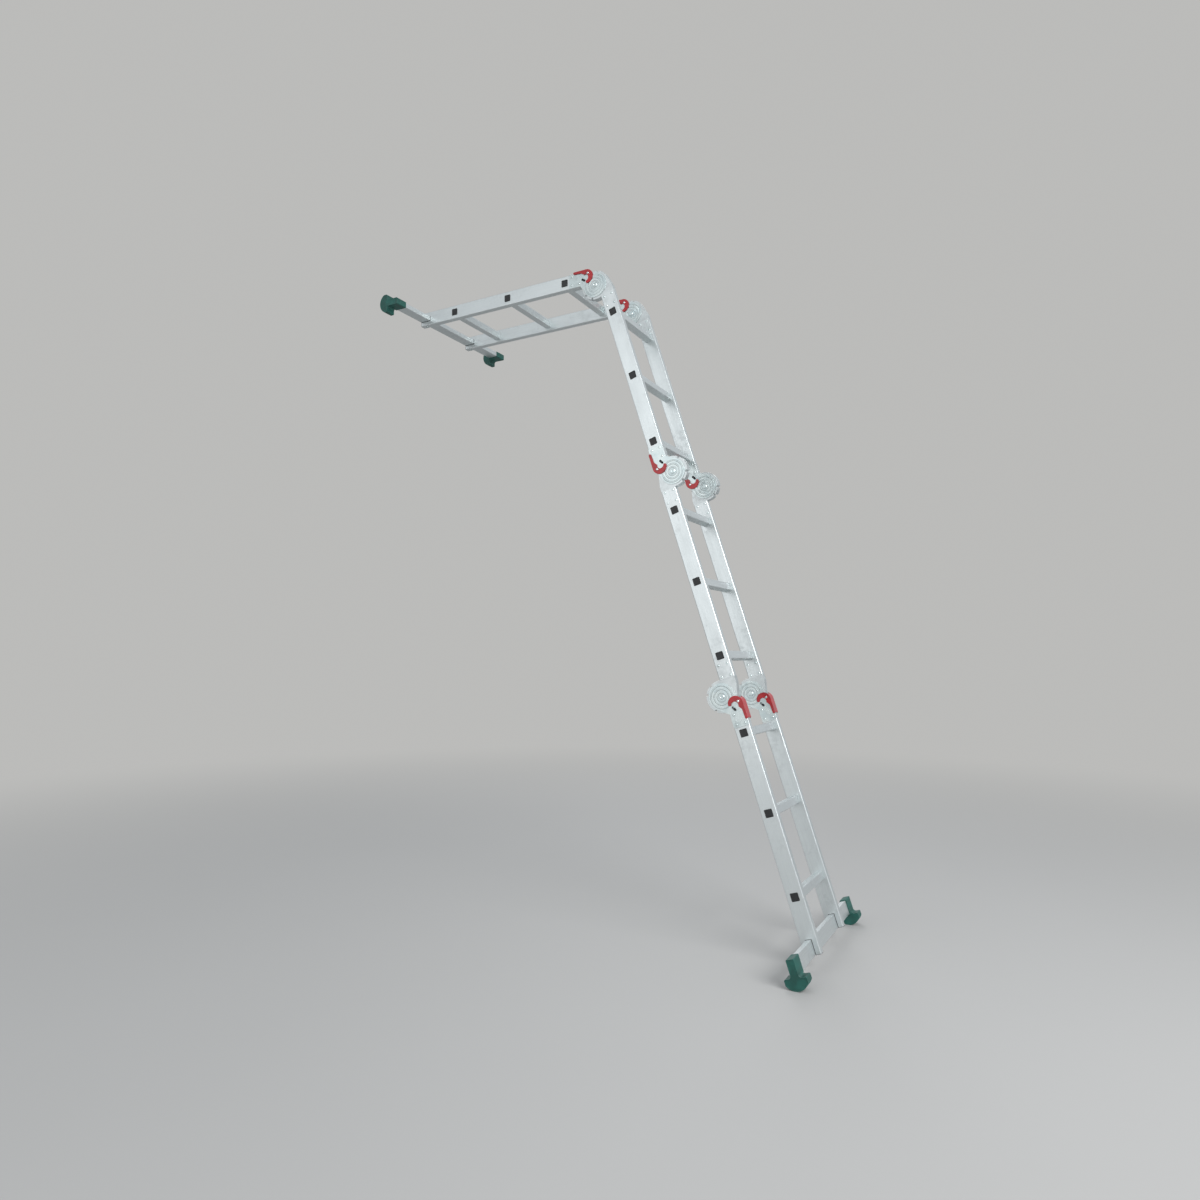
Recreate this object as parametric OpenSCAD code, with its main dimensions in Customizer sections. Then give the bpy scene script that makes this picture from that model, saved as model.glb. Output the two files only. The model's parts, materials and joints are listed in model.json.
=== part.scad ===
// Multi position ladder: four sections of three rungs, joined by three pairs of
// locking hinges, with a stabiliser bar and rocker feet at both ends.
// Three sections lean on their feet and the fourth reaches level to the wall.
// +X faces the climber, +Y is to the climber's right, +Z is up.

/* [Ladder] */
// Lean of the three lower sections from upright, in degrees
lean = 17.7; // [12:0.1:25]
// Width over the outer faces of the two stiles
ladder_w = 340; // [280:1:420]
// Rung to rung distance, the same across every hinge
rung_pitch = 280; // [230:1:340]
// Clear gap between two sections folded flat
fold_gap = 18; // [16:1:28]

/* [Stiles] */
// Depth of a stile, from its wall side to its climbing side
stile_d = 58; // [48:0.5:72]
// Thickness of a stile across the ladder
stile_t = 26; // [21:0.5:32]
// Wall of the stile tube
stile_wall = 1.6; // [1.2:0.1:2.5]
// Outer corner radius of the stile tube
stile_r = 3.5; // [2.8:0.1:5]

/* [Rungs] */
// Height and depth of the square rung tube
rung_w = 30; // [25:0.5:36]
// Wall of the rung tube
rung_wall = 1.9; // [1.5:0.1:2.5]
// Outer corner radius of the rung tube
rung_r = 3; // [2.2:0.1:4]
// Number of grip grooves on each tread face
tread_grooves = 5; // [3:1:5]
// Width of a grip groove
groove_w = 2; // [1:0.1:2.5]
// Depth of a grip groove
groove_depth = 0.8; // [0.4:0.1:1]
// Silver rim left round a rung plug
plug_rim = 1.1; // [0.8:0.1:2]
// How far a rung plug stands proud of the stile
plug_proud = 1.6; // [1:0.1:3]
// Length of a rung plug inside the rung
plug_len = 12; // [8:1:20]

/* [Hinges] */
// Distance from the rim of the notched head to the far edge of the stile
head_inset = 9.5; // [8:0.5:14]
// Width of the notched rim that shows round the hinge plates
rim_w = 9; // [7:0.5:12]
// Thickness of a pressed hinge plate
plate_t = 2; // [1.5:0.1:3]
// Height of the ridges pressed into a hinge plate
ridge_h = 1; // [0.6:0.1:1.3]
// Radii of the pressed ridges
ridge_radii = [15.5, 27.5, 40];
// Running clearance between the head and the plates
head_clear = 0.3; // [0.2:0.05:0.5]
// Side wall of the hollow hinge head
head_wall = 4; // [3:0.5:5]
// Distance from the end of a hinge tang to the nearest rung
tang_gap = 7; // [4:0.5:12]
// Radius of the hinge pivot
pivot_r = 6; // [5:0.5:8]
// Radius of the heads of the hinge pivot
pivot_head_r = 10; // [8:0.5:11]
// Angle of the lock bolt slot from the line of the stile
slot_angle = 31; // [25:1:36]
// Radius of the lock bolt
bolt_r = 4; // [3:0.25:4.5]
// Travel of the lock bolt away from the rim of the head
bolt_travel = 4; // [3:0.1:5]
// Fold angles at which the hinge locks, besides straight and wall stand-off
extra_locks = [143, 180];

/* [Levers] */
// Radius of the round back of the lever hook
hook_r = 28; // [24:0.5:30]
// Radius of the opening of the hook
hook_inner_r = 13.5; // [12:0.5:15]
// Length of the lever tail past the middle of the hook
tail_len = 55; // [40:1:62]
// Width of the lever tail
tail_w = 11; // [9:0.5:13]
// Thickness of the lever sheet
lever_t = 2.3; // [1.8:0.1:3]
// Clearance between the lever and the edge of the stile
lever_clear = 1; // [0.6:0.1:1.2]
// Radius of the lever pin
lever_pin_r = 2.5; // [2:0.1:3]
// Wire diameter of the lever return spring
spring_wire = 1.1; // [0.8:0.1:1.2]

/* [Fasteners] */
// Radius of a rivet shank
rivet_r = 2.4; // [2:0.1:3]
// Radius of a rivet head
rivet_head_r = 4.2; // [3.5:0.1:5]
// Height of a rivet head
rivet_head_h = 1.3; // [1:0.1:2]

/* [Stabiliser bars] */
// Length of a stabiliser bar tube
bar_len = 752; // [600:1:900]
// Depth of the bar along the stile
bar_h = 50; // [40:0.5:60]
// Thickness of the bar
bar_t = 20; // [16:0.5:25]
// Wall of the bar tube
bar_wall = 2; // [1.5:0.1:3]
// Distance from the end rung to the bar
end_reach = 138; // [110:1:180]
// Thickness of the plastic lining between bar and stile
liner_t = 1.2; // [1:0.1:2]
// How far the lining stands proud of the stile
liner_proud = 0.6; // [0.3:0.1:1]

/* [Feet] */
// Wall of the foot sleeve
foot_wall = 3; // [2:0.1:4]
// Length of bar that a foot sleeve covers
foot_cover = 48; // [35:1:60]
// Thickness of the closed end of the sleeve
foot_end = 8; // [5:0.5:10]
// Width of the sole across the bar
sole_w = 74; // [60:1:90]
// Length of the sole along the bar
sole_len = 44; // [30:1:52]
// Radius of the rocker sole
sole_r = 42; // [40:0.5:60]
// Radius of the fillet between sleeve and sole
sole_fillet = 9; // [5:0.5:14]

/* [Hidden] */
$fn = 64;
sections = 4;
rungs_each = 3;
hair = 0.03;                   // keeps a straight band clear of an arc's tangent point
fit = 0.05;                    // clearance between pieces fastened together
bar_fit = 0.3;                 // clearance of the bar in its lining
run_fit = 0.08;                // clearance of a turning fit
side_names = ["left", "right"];
hinge_names = ["lower", "middle", "upper"];

half_pitch = rung_pitch / 2;
section_len = rungs_each * rung_pitch;
top_pivot_z = section_len - half_pitch;
stand_off = 90 - lean;         // fold of the upper hinge that levels section 4
pivot_off = stile_d / 2 + fold_gap / 2;
near_q = pivot_off - stile_d / 2;
edge_q = pivot_off + stile_d / 2;
y_out = ladder_w / 2;
y_in = y_out - stile_t;
y_mid = y_out - stile_t / 2;
stile_in_r = stile_r - stile_wall;

head_r = edge_q - head_inset;
disc_r = head_r - rim_w;
head_tube_p = head_r + 0.5;    // where the tube of the notched section starts
sweep_gap = 1.5;               // clearance round the turning head
pin_gap = 4.5;                 // centre of the lever pin outside the head's rim
pin_inset = 13;                // lever pin inside the edge of the stile
pin_q = edge_q - pin_inset;
pin_p = sqrt(pow(head_r + pin_gap, 2) - pow(pin_q, 2));
plate_tube_p = pin_p + 13.5;   // where the tube of the lever section starts
pin_boss_r = 9;
tang_len = half_pitch - rung_w / 2 - tang_gap;
tang_r = 6;
tang_inset = 0.5;
rivet_side = stile_d / 2 - 12.5;
rivet_far_p = tang_len - 11;
head_rivet_p = head_tube_p + 7.5;
plate_rivet_p = head_tube_p + 14;
bolt_deep = head_r - 3;        // middle of the bolt when it is down in a notch
bolt_rest = head_r + bolt_r + 0.5;
bolt_out = bolt_rest + bolt_travel;
bolt_slot_r = bolt_r + 0.3;
head_round = 20;
tang_root_p = head_tube_p - 15;
notch_mouth = 20;
boss_r = 13;
rim_inner = head_r - 13;
lock_angles = concat([0, stand_off], extra_locks);

cheek_gap = 0.4;               // lever cheek clear of the pressed ridges
cheek_y0 = plate_t + ridge_h + cheek_gap;
cheek_y1 = cheek_y0 + lever_t;
web_out = edge_q + lever_clear + lever_t;
hook_c = [web_out - hook_r, pin_p + 6.5];
hook_in_c = [hook_c[0] - 4.5, hook_c[1] + 5];
tip_c = [hook_c[0] - hook_r + 6.8, hook_c[1] - 3.5];
tip_r = 6.3;
tail_r = 4.75;
tail_end = [web_out - tail_r, hook_c[1] + tail_len];
pin_head_h = 1.4;
spring_turns = 4;
spring_steps = 10;
spring_sides = 6;
spring_coil_r = lever_pin_r + 0.25 + spring_wire / 2;
spring_half = stile_t / 2 - 3;

bar_end = end_reach + bar_h;
foot_reach = bar_end;          // height of the centre of the rocker sole
slot_half = bar_t / 2 + bar_fit + liner_t;
liner_half = bar_t / 2 + bar_fit;
foot_y1 = bar_len / 2 + bar_fit + foot_end;
foot_y0 = bar_len / 2 - foot_cover;
screw_z = end_reach + bar_h / 2;
screw_head_h = 3;
sole_corner_z = foot_reach + sqrt(pow(sole_r, 2) - pow(sole_w / 2, 2));

// Frame of the whole ladder: on the floor, in the middle of its own box
floor_drop = foot_reach * cos(lean) + sole_r;
pivot3_x = -(pivot_off * cos(lean)) - (3 * section_len - half_pitch) * sin(lean);
wall_x = pivot3_x - (half_pitch + (rungs_each - 1) * rung_pitch + foot_reach + sole_r);
front_x = sole_w / 2 * cos(lean) + sole_corner_z * sin(lean);
centre_x = (wall_x + front_x) / 2;

// Lever half and notched half of each hinge: [section, at its top end]
lever_half = [[1, true], [3, false], [4, false]];
head_half = [[2, false], [2, true], [3, true]];
hinge_side = [-1, 1, -1];      // -1 pivots beyond the wall side, 1 beyond the climbing side

// ---- placing ----

module flip(v, on) {
    if (on) mirror(v) children();
    else children();
}

// Side 0 is the left stile, at -Y, and side 1 the right one, at +Y
module on_side(i) flip([0, 1, 0], i == 0) children();

module both_sides() for (i = [0, 1]) on_side(i) children();

// Frame of a section: first rung at z = 0, +z towards its upper end
module in_section(k)
    translate([-centre_x, 0, floor_drop]) rotate([0, -lean, 0])
        if (k < sections) translate([0, 0, (k - 1) * section_len]) children();
        else translate([-pivot_off, 0, 3 * section_len - half_pitch]) rotate([0, -stand_off, 0])
            translate([pivot_off, 0, half_pitch]) children();

// Frame of a hinge half: pivot at the origin, +z into the section, +x over the stile
module at_pivot(side, top)
    translate([side * pivot_off, 0, top ? top_pivot_z : -half_pitch])
        flip([0, 0, 1], top) flip([1, 0, 0], side > 0) children();

module lever_side(h)
    in_section(lever_half[h][0]) at_pivot(hinge_side[h], lever_half[h][1]) children();

module head_side(h)
    in_section(head_half[h][0]) at_pivot(hinge_side[h], head_half[h][1]) children();

// Frame of a bar end: end rung at z = 0, +z out of the section
module at_bar_end(k)
    if (k == 1) mirror([0, 0, 1]) children();
    else translate([0, 0, (rungs_each - 1) * rung_pitch]) children();

// Extrudes a flat [x, z] outline from y0 to y1
module slab(y0, y1) translate([0, y1, 0]) rotate([90, 0, 0]) linear_extrude(y1 - y0) children();

// ---- flat shapes ----

module round_rect(w, h, r) {
    square([w - 2 * r, h], center = true);
    square([w, h - 2 * r], center = true);
    for (x = [-1, 1]) for (y = [-1, 1])
        translate([x * (w / 2 - r), y * (h / 2 - r)]) circle(r);
}

// Two circles and the straight band between them, a hair inside their tangents
module link(c1, r1, c2, r2) {
    along = atan2(c2[1] - c1[1], c2[0] - c1[0]);
    turn = acos((r1 - r2) / norm(c2 - c1));
    left = [cos(along + turn), sin(along + turn)];
    right = [cos(along - turn), sin(along - turn)];
    in1 = r1 - hair;
    in2 = r2 - hair;
    translate(c1) circle(r1);
    translate(c2) circle(r2);
    polygon([c1 + in1 * left, c1 + in1 * right, c2 + in2 * right, c2 + in2 * left]);
}

function slot_point(r) = r * [sin(slot_angle), cos(slot_angle)];

// ---- stiles ----

module tube_outline() difference() {
    round_rect(stile_d, stile_t, stile_r);
    round_rect(stile_d - 2 * stile_wall, stile_t - 2 * stile_wall, stile_in_r);
}

module lever_end_cut() {
    slab(y_in - 1, y_out + 1) {
        circle(head_r + sweep_gap);
        link(slot_point(bolt_deep), bolt_slot_r + 0.5, slot_point(bolt_out), bolt_slot_r + 0.5);
    }
    plate_rivet_places() circle_hole(rivet_r + fit);
}

module circle_hole(r) slab(y_in - 10, y_out + 10) circle(r);

module plate_rivet_places() {
    translate([pivot_off - rivet_side, 0, plate_rivet_p]) children();
    for (s = [-1, 1]) translate([pivot_off + s * rivet_side, 0, rivet_far_p]) children();
}

module head_rivet_places()
    for (s = [-1, 1]) for (p = [head_rivet_p, rivet_far_p])
        translate([pivot_off + s * rivet_side, 0, p]) children();

module bar_slot_cut() {
    translate([-slot_half - fit, y_in - 1, end_reach - liner_t - fit])
        cube([2 * (slot_half + fit), stile_t + 2, bar_h + 20]);
    bar_screw_line() cylinder(r = rivet_r + fit, h = stile_d / 2 + 1);
}

module bar_screw_line() translate([-stile_d / 2 - 1, y_mid, screw_z]) rotate([0, 90, 0]) children();

function tube_start(k) = k == 1 ? -(bar_end - liner_t)
    : k == 2 ? -half_pitch + head_tube_p : -half_pitch + plate_tube_p;

function tube_stop(k) = k == 1 ? top_pivot_z - plate_tube_p
    : k == 4 ? (rungs_each - 1) * rung_pitch + bar_end - liner_t : top_pivot_z - head_tube_p;

module stile(k, i) color("gainsboro") in_section(k) on_side(i) difference() {
    translate([0, y_mid, tube_start(k)]) linear_extrude(tube_stop(k) - tube_start(k)) tube_outline();
    for (n = [0:rungs_each - 1]) translate([0, 0, n * rung_pitch])
        slab(y_in - 1, y_out + 1) round_rect(rung_w + 2 * fit, rung_w + 2 * fit, rung_r + fit);
    for (h = [0:2]) {
        if (lever_half[h][0] == k) at_pivot(hinge_side[h], lever_half[h][1]) lever_end_cut();
        if (head_half[h][0] == k) at_pivot(hinge_side[h], head_half[h][1])
            head_rivet_places() circle_hole(rivet_r + fit);
    }
    if (k == 1 || k == sections) at_bar_end(k) bar_slot_cut();
}

// ---- rungs ----

module rung_outline() difference() {
    round_rect(rung_w, rung_w, rung_r);
    round_rect(rung_w - 2 * rung_wall, rung_w - 2 * rung_wall, rung_r - rung_wall);
    pitch = (rung_w - 2 * rung_r) / tread_grooves;
    for (g = [0:tread_grooves - 1]) for (s = [-1, 1])
        translate([(g - (tread_grooves - 1) / 2) * pitch, s * rung_w / 2])
            square([groove_w, 2 * groove_depth], center = true);
}

// The grooves stop at the stiles, where the rung is plain
module rung() {
    slab(-y_in + 2, y_in - 2) rung_outline();
    both_sides() slab(y_in - 2, y_out) difference() {
        round_rect(rung_w, rung_w, rung_r);
        round_rect(rung_w - 2 * rung_wall, rung_w - 2 * rung_wall, rung_r - rung_wall);
    }
}

module rungs(k) color("gainsboro") in_section(k)
    for (n = [0:rungs_each - 1]) translate([0, 0, n * rung_pitch]) rung();

module rung_plug() {
    flange = rung_w - 2 * plug_rim;
    inner = rung_w - 2 * rung_wall - 2 * fit;
    slab(y_out, y_out + plug_proud) round_rect(flange, flange, rung_r);
    slab(y_out - plug_len, y_out) difference() {
        round_rect(inner, inner, rung_r - rung_wall);
        round_rect(inner - 5, inner - 5, 1);
    }
}

module rung_plugs(k) color("black") in_section(k) both_sides()
    for (n = [0:rungs_each - 1]) translate([0, 0, n * rung_pitch]) rung_plug();

// ---- hinges ----

// Outline of the part of the head that is outside the tube
module head_outline() {
    round_p = head_tube_p - fit - head_round;
    link([0, 0], head_r, [edge_q - head_round, round_p], head_round);
    translate([near_q, 0]) square([edge_q - head_round - near_q, head_tube_p - fit]);
    translate([edge_q - head_round - 1, round_p]) square([head_round + 1, head_round]);
}

module notch(fold) rotate(slot_angle - fold) translate([0, -bolt_deep]) {
    circle(bolt_slot_r);
    translate([-bolt_slot_r, -notch_mouth]) square([2 * bolt_slot_r, notch_mouth]);
}

module hinge_head() difference() {
    tang_w = stile_d - 2 * stile_wall - 2 * fit;
    tang_h = stile_t - 2 * stile_wall - 2 * fit;
    union() {
        slab(y_in + head_clear, y_out - head_clear) head_outline();
        translate([pivot_off, y_mid, tang_root_p]) linear_extrude(tang_len - tang_root_p)
            round_rect(tang_w, tang_h, stile_in_r - fit);
    }
    slab(y_in + head_wall, y_out - head_wall) difference() {
        circle(rim_inner);
        circle(boss_r);
    }
    translate([pivot_off, y_mid, head_tube_p - head_round]) linear_extrude(tang_len)
        square([tang_w - 2 * head_wall, stile_t - 2 * head_wall], center = true);
    slab(y_in - 1, y_out + 1) {
        circle(pivot_r + run_fit);
        for (fold = lock_angles) notch(fold);
    }
    head_rivet_places() circle_hole(rivet_r + fit);
}

module hinge_heads(h) color("silver") head_side(h) both_sides() hinge_head();

module plate_outline() {
    link([0, 0], disc_r, [pin_q, pin_p], pin_boss_r);
    far = [edge_q - tang_inset - tang_r, head_tube_p + tang_r];
    near = [near_q + tang_inset + tang_r, head_tube_p + tang_r];
    link([pin_q, pin_p], pin_boss_r, far, tang_r);
    link([0, 0], disc_r, near, tang_r);
    polygon([[0, 0], [pin_q, pin_p], far, near]);
    translate([pivot_off, (head_tube_p + tang_len) / 2])
        round_rect(stile_d - 2 * tang_inset, tang_len - head_tube_p, tang_r);
}

module ridge(r) rotate_extrude() polygon([[r - 3, 0], [r + 3, 0], [r + 1.2, ridge_h], [r - 1.2, ridge_h]]);

// One pressed plate, its flat back at y = 0 and its ridges towards +y
module hinge_plate() difference() {
    union() {
        slab(0, plate_t) plate_outline();
        translate([0, plate_t, 0]) rotate([-90, 0, 0]) for (r = ridge_radii) ridge(r);
    }
    slab(-1, plate_t + ridge_h + 1) {
        circle(pivot_r + fit);
        translate([pin_q, pin_p]) circle(lever_pin_r + fit);
        link(slot_point(bolt_deep), bolt_slot_r, slot_point(bolt_out), bolt_slot_r);
    }
    plate_rivet_places() slab(-1, plate_t + 1) circle(rivet_r + fit);
}

module hinge_plates(h) color("lightgray") lever_side(h) both_sides() {
    translate([0, y_out, 0]) hinge_plate();
    translate([0, y_in, 0]) mirror([0, 1, 0]) hinge_plate();
}

// Turned about y: a list of [radius, distance from the middle of the stile]
module turned(profile) translate([0, y_mid, 0]) rotate([-90, 0, 0]) rotate_extrude() polygon(profile);

// A pin of radius r with a chamfered head of radius wide at both ends
module headed_pin(r, wide, half_grip, head_h, dimple) {
    narrow = wide - 0.8 * head_h;
    edge = half_grip + 0.3;
    top = half_grip + head_h;
    floor = half_grip + 0.4 * head_h;
    turned([
        [0, -top], [narrow, -top], [wide, -edge], [wide, -half_grip], [r, -half_grip],
        [r, half_grip], [wide, half_grip], [wide, edge], [narrow, top],
        [dimple + 0.01, top], [0.7 * dimple, floor], [0, floor]
    ]);
}

module hinge_pivots(h) color("silver") lever_side(h) both_sides()
    headed_pin(pivot_r, pivot_head_r, stile_t / 2 + plate_t, 2.2, 4.5);

module head_rivets(h) color("silver") head_side(h) both_sides() head_rivet_places()
    headed_pin(rivet_r, rivet_head_r, stile_t / 2, rivet_head_h, 1.2);

module plate_rivets(h) color("silver") lever_side(h) both_sides() plate_rivet_places()
    headed_pin(rivet_r, rivet_head_r, stile_t / 2 + plate_t, rivet_head_h, 1.2);

module lever_pins(h) color("silver") lever_side(h) both_sides() translate([pin_q, 0, pin_p])
    headed_pin(lever_pin_r, lever_pin_r + 2, stile_t / 2 + cheek_y1 + 0.15, pin_head_h, 1);

// Return spring: a short coil round the lever pin, between the plates
function spring_ring(j) =
    let (a = 360 * j / spring_steps, y = spring_half * (2 * j / (spring_turns * spring_steps) - 1))
    [for (s = [0:spring_sides - 1])
        let (b = 360 * s / spring_sides, r = spring_coil_r + spring_wire / 2 * cos(b))
        [r * cos(a), y + spring_wire / 2 * sin(b), r * sin(a)]];

module coil() {
    last = spring_turns * spring_steps;
    points = [for (j = [0:last]) each spring_ring(j)];
    walls = [for (j = [0:last - 1]) for (s = [0:spring_sides - 1])
        let (t = (s + 1) % spring_sides, a = j * spring_sides, b = a + spring_sides)
        each [[a + s, a + t, b + t], [a + s, b + t, b + s]]];
    start = [for (s = [1:spring_sides - 2]) [0, s + 1, s]];
    stop = [for (s = [1:spring_sides - 2]) let (a = last * spring_sides) [a, a + s, a + s + 1]];
    polyhedron(points, concat(walls, start, stop));
}

module lever_springs(h) color("dimgray") lever_side(h) both_sides()
    translate([pin_q, y_mid, pin_p]) coil();

// ---- levers and lock bolts ----

module cheek_outline() difference() {
    union() {
        difference() {
            translate(hook_c) circle(hook_r);
            translate(hook_in_c) circle(hook_inner_r);
            polygon([
                [tip_c[0] - 30, tip_c[1]], [hook_in_c[0], tip_c[1]], hook_in_c,
                [hook_in_c[0] + hook_inner_r, hook_in_c[1]],
                [web_out - tail_w, hook_in_c[1] + 20], [web_out - tail_w, hook_in_c[1] + 40],
                [tip_c[0] - 30, hook_in_c[1] + 40]
            ]);
        }
        translate(tip_c) circle(tip_r);
        polygon([
            [web_out - tail_w, hook_in_c[1] + 19], hook_c, [web_out, hook_c[1]],
            [web_out, tail_end[1]], [web_out - 2 * tail_r, tail_end[1]]
        ]);
        translate(tail_end) circle(tail_r);
    }
    translate([pin_q, pin_p]) circle(lever_pin_r + run_fit);
    translate(hook_in_c) circle(hook_inner_r);
}

// The back of the lever, which joins its two cheeks along the outer edge
module web_outline() {
    intersection() {
        difference() {
            translate(hook_c) circle(hook_r);
            translate(hook_c) circle(hook_r - lever_t);
        }
        translate(hook_c) polygon([[0, 0], [60, 0], [60, -60 * tan(42)]]);
    }
    translate([web_out - lever_t, hook_c[1]]) square([lever_t, tail_end[1] - hook_c[1]]);
    intersection() {
        difference() {
            translate(tail_end) circle(tail_r);
            translate(tail_end) circle(tail_r - lever_t);
        }
        translate(tail_end) polygon([[0, 0], [2 * tail_r, 0], [2 * tail_r, 2 * tail_r * tan(30)]]);
    }
}

module lever(h, i) color("firebrick") lever_side(h) on_side(i) {
    slab(y_out + cheek_y0, y_out + cheek_y1) cheek_outline();
    slab(y_in - cheek_y1, y_in - cheek_y0) cheek_outline();
    slab(y_in - cheek_y1, y_out + cheek_y1) web_outline();
}

module lock_bolt(h, i) color("dimgray") lever_side(h) on_side(i)
    translate([slot_point(bolt_rest)[0], y_mid, slot_point(bolt_rest)[1]]) rotate([90, 0, 0])
        cylinder(r = bolt_r, h = stile_t + 2 * plate_t - 0.4, center = true);

// ---- stabiliser bars and feet ----

module bar(k) color("gainsboro") in_section(k) at_bar_end(k) difference() {
    translate([0, 0, screw_z]) slab(-bar_len / 2, bar_len / 2) difference() {
        round_rect(bar_t, bar_h, 2);
        round_rect(bar_t - 2 * bar_wall, bar_h - 2 * bar_wall, 0.5);
    }
    both_sides() bar_screw_line() cylinder(r = rivet_r + fit, h = stile_d / 2 + 1);
}

module end_plug() difference() {
    union() {
        translate([0, y_mid, bar_end - liner_t]) linear_extrude(liner_t)
            round_rect(stile_d, stile_t, stile_r);
        translate([0, y_mid, bar_end - 16]) linear_extrude(16)
            round_rect(stile_d - 2 * stile_wall - 2 * fit, stile_t - 2 * stile_wall - 2 * fit,
                stile_in_r - fit);
        translate([-slot_half, y_in - liner_proud, end_reach - liner_t])
            cube([2 * slot_half, stile_t + 2 * liner_proud, bar_h + liner_t]);
    }
    translate([-liner_half, y_in - 5, end_reach]) cube([2 * liner_half, stile_t + 10, bar_h + 5]);
    bar_screw_line() cylinder(r = rivet_r + fit, h = stile_d / 2 + 1);
}

module end_plugs(k) color("black") in_section(k) at_bar_end(k) both_sides() end_plug();

module bar_screw() {
    shank = stile_d / 2 - bar_t / 2 + bar_wall + 3;
    rotate_extrude() polygon([
        [0, 1 - screw_head_h], [rivet_head_r, 1 - screw_head_h], [rivet_head_r + 1.5, 1 - screw_head_h / 2],
        [rivet_head_r + 1.5, 1], [rivet_r, 1], [rivet_r, 1 + shank], [0, 2.5 + shank]
    ]);
}

module bar_screws(k) color("silver") in_section(k) at_bar_end(k) both_sides()
    bar_screw_line() bar_screw();

module foot() {
    outer_t = bar_t + 2 * foot_wall;
    difference() {
        translate([0, 0, screw_z]) slab(foot_y0, foot_y1) round_rect(outer_t, bar_h + 2 * foot_wall, 3);
        translate([0, 0, screw_z]) slab(foot_y0 - 1, bar_len / 2 + bar_fit)
            round_rect(bar_t + 2 * fit, bar_h + 2 * fit, 2 + fit);
    }
    sole_z = bar_end + foot_wall;
    slab(foot_y1 - sole_len, foot_y1) {
        intersection() {
            translate([0, foot_reach]) circle(sole_r);
            translate([0, sole_z + 50]) round_rect(sole_w, 100, 4);
        }
        for (s = [-1, 1]) difference() {
            translate([s * (outer_t / 2 + sole_fillet / 2), sole_z - sole_fillet / 2 + 0.5])
                square([sole_fillet, sole_fillet + 1], center = true);
            translate([s * (outer_t / 2 + sole_fillet), sole_z - sole_fillet]) circle(sole_fillet);
        }
        translate([0, sole_z]) square([outer_t, 8], center = true);
    }
}

module feet(k) color("darkgreen") in_section(k) at_bar_end(k) both_sides() difference() {
    foot();
    translate([-bar_t / 2 - fit, foot_y0 - 1, end_reach - fit])
        cube([bar_t + 2 * fit, foot_cover + 1 + bar_fit, bar_h + 2 * fit]);
}

// ---- the ladder ----

for (k = [1:sections]) {
    for (i = [0, 1]) stile(k, i);
    rungs(k);
    rung_plugs(k);
}
for (h = [0:2]) {
    hinge_heads(h);
    hinge_plates(h);
    hinge_pivots(h);
    head_rivets(h);
    plate_rivets(h);
    lever_pins(h);
    lever_springs(h);
    for (i = [0, 1]) {
        lever(h, i);
        lock_bolt(h, i);
    }
}
bar(1);  // bottom_bar
bar(4);  // top_bar
end_plugs(1);  // bottom_end_plugs
end_plugs(4);  // top_end_plugs
bar_screws(1);  // bottom_bar_screws
bar_screws(4);  // top_bar_screws
feet(1);  // bottom_feet
feet(4);  // top_feet
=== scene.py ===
import json
import math

import bpy
from mathutils import Matrix, Vector


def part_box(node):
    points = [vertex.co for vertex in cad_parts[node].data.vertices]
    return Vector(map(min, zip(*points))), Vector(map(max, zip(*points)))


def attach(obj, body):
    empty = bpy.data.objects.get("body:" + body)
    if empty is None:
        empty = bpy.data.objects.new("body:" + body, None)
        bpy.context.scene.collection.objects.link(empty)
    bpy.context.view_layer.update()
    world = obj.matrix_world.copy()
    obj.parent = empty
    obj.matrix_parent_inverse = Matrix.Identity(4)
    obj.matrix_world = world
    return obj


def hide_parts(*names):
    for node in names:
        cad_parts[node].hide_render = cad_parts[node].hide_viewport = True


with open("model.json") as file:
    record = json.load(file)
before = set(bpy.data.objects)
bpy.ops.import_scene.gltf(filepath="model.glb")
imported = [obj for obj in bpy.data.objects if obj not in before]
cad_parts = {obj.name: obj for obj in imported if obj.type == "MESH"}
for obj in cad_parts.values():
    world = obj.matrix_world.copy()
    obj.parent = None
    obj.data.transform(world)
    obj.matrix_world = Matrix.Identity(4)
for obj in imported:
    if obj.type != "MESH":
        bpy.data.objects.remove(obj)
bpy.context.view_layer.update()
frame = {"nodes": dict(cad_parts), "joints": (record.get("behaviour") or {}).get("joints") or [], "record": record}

bl_info = {
    "name": "Multi position ladder",
    "version": (1, 0, 0),
    "blender": (4, 5, 0),
    "location": "3D View > Sidebar > Ladder",
    "description": "Finishes the packed ladder: metals, painted levers, moulded plugs and feet, and a studio",
    "category": "Object",
}

NODES = frame["nodes"]
RECORD = frame["record"]
JOINTS = {joint["name"]: joint for joint in frame["joints"]}
MOUNTS = {mount["name"]: mount for mount in RECORD["mounts"]}
HINGES = ("lower", "middle", "upper")
SIDES = ("left", "right")
BODY_OF = {node: body for body, nodes in RECORD["behaviour"]["bodies"].items() for node in nodes}
SLOT_OF = {part["node"]: part["material_slot"] for part in RECORD["subparts"]}

# The upper hinge is straight at its low limit, so that limit gives the ladder's lean
LEAN = math.radians(90 + JOINTS["upper_fold"]["range_deg"][0])
UP = Vector((-math.sin(LEAN), 0, math.cos(LEAN)))

WELD = 0.000004                    # points of a CAD mesh closer than this are one point
FLAT_WITHIN = math.radians(0.6)    # faces turned less than this are one flat face
SMOOTH_WITHIN = math.radians(40)   # edges turned less than this are shaded smooth
SOLE_TOLERANCE = 0.0012            # how far a facet of the sole may lie off its true radius
GROOVE_SLOPE = 0.0002              # how much narrower a sole groove is at its bottom
PLUG_SEAT = 0.0001                 # gap between a plug's flange and the stile
PLUG_OVERLAP = 0.0002              # how far a plug's body runs into its flange

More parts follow.
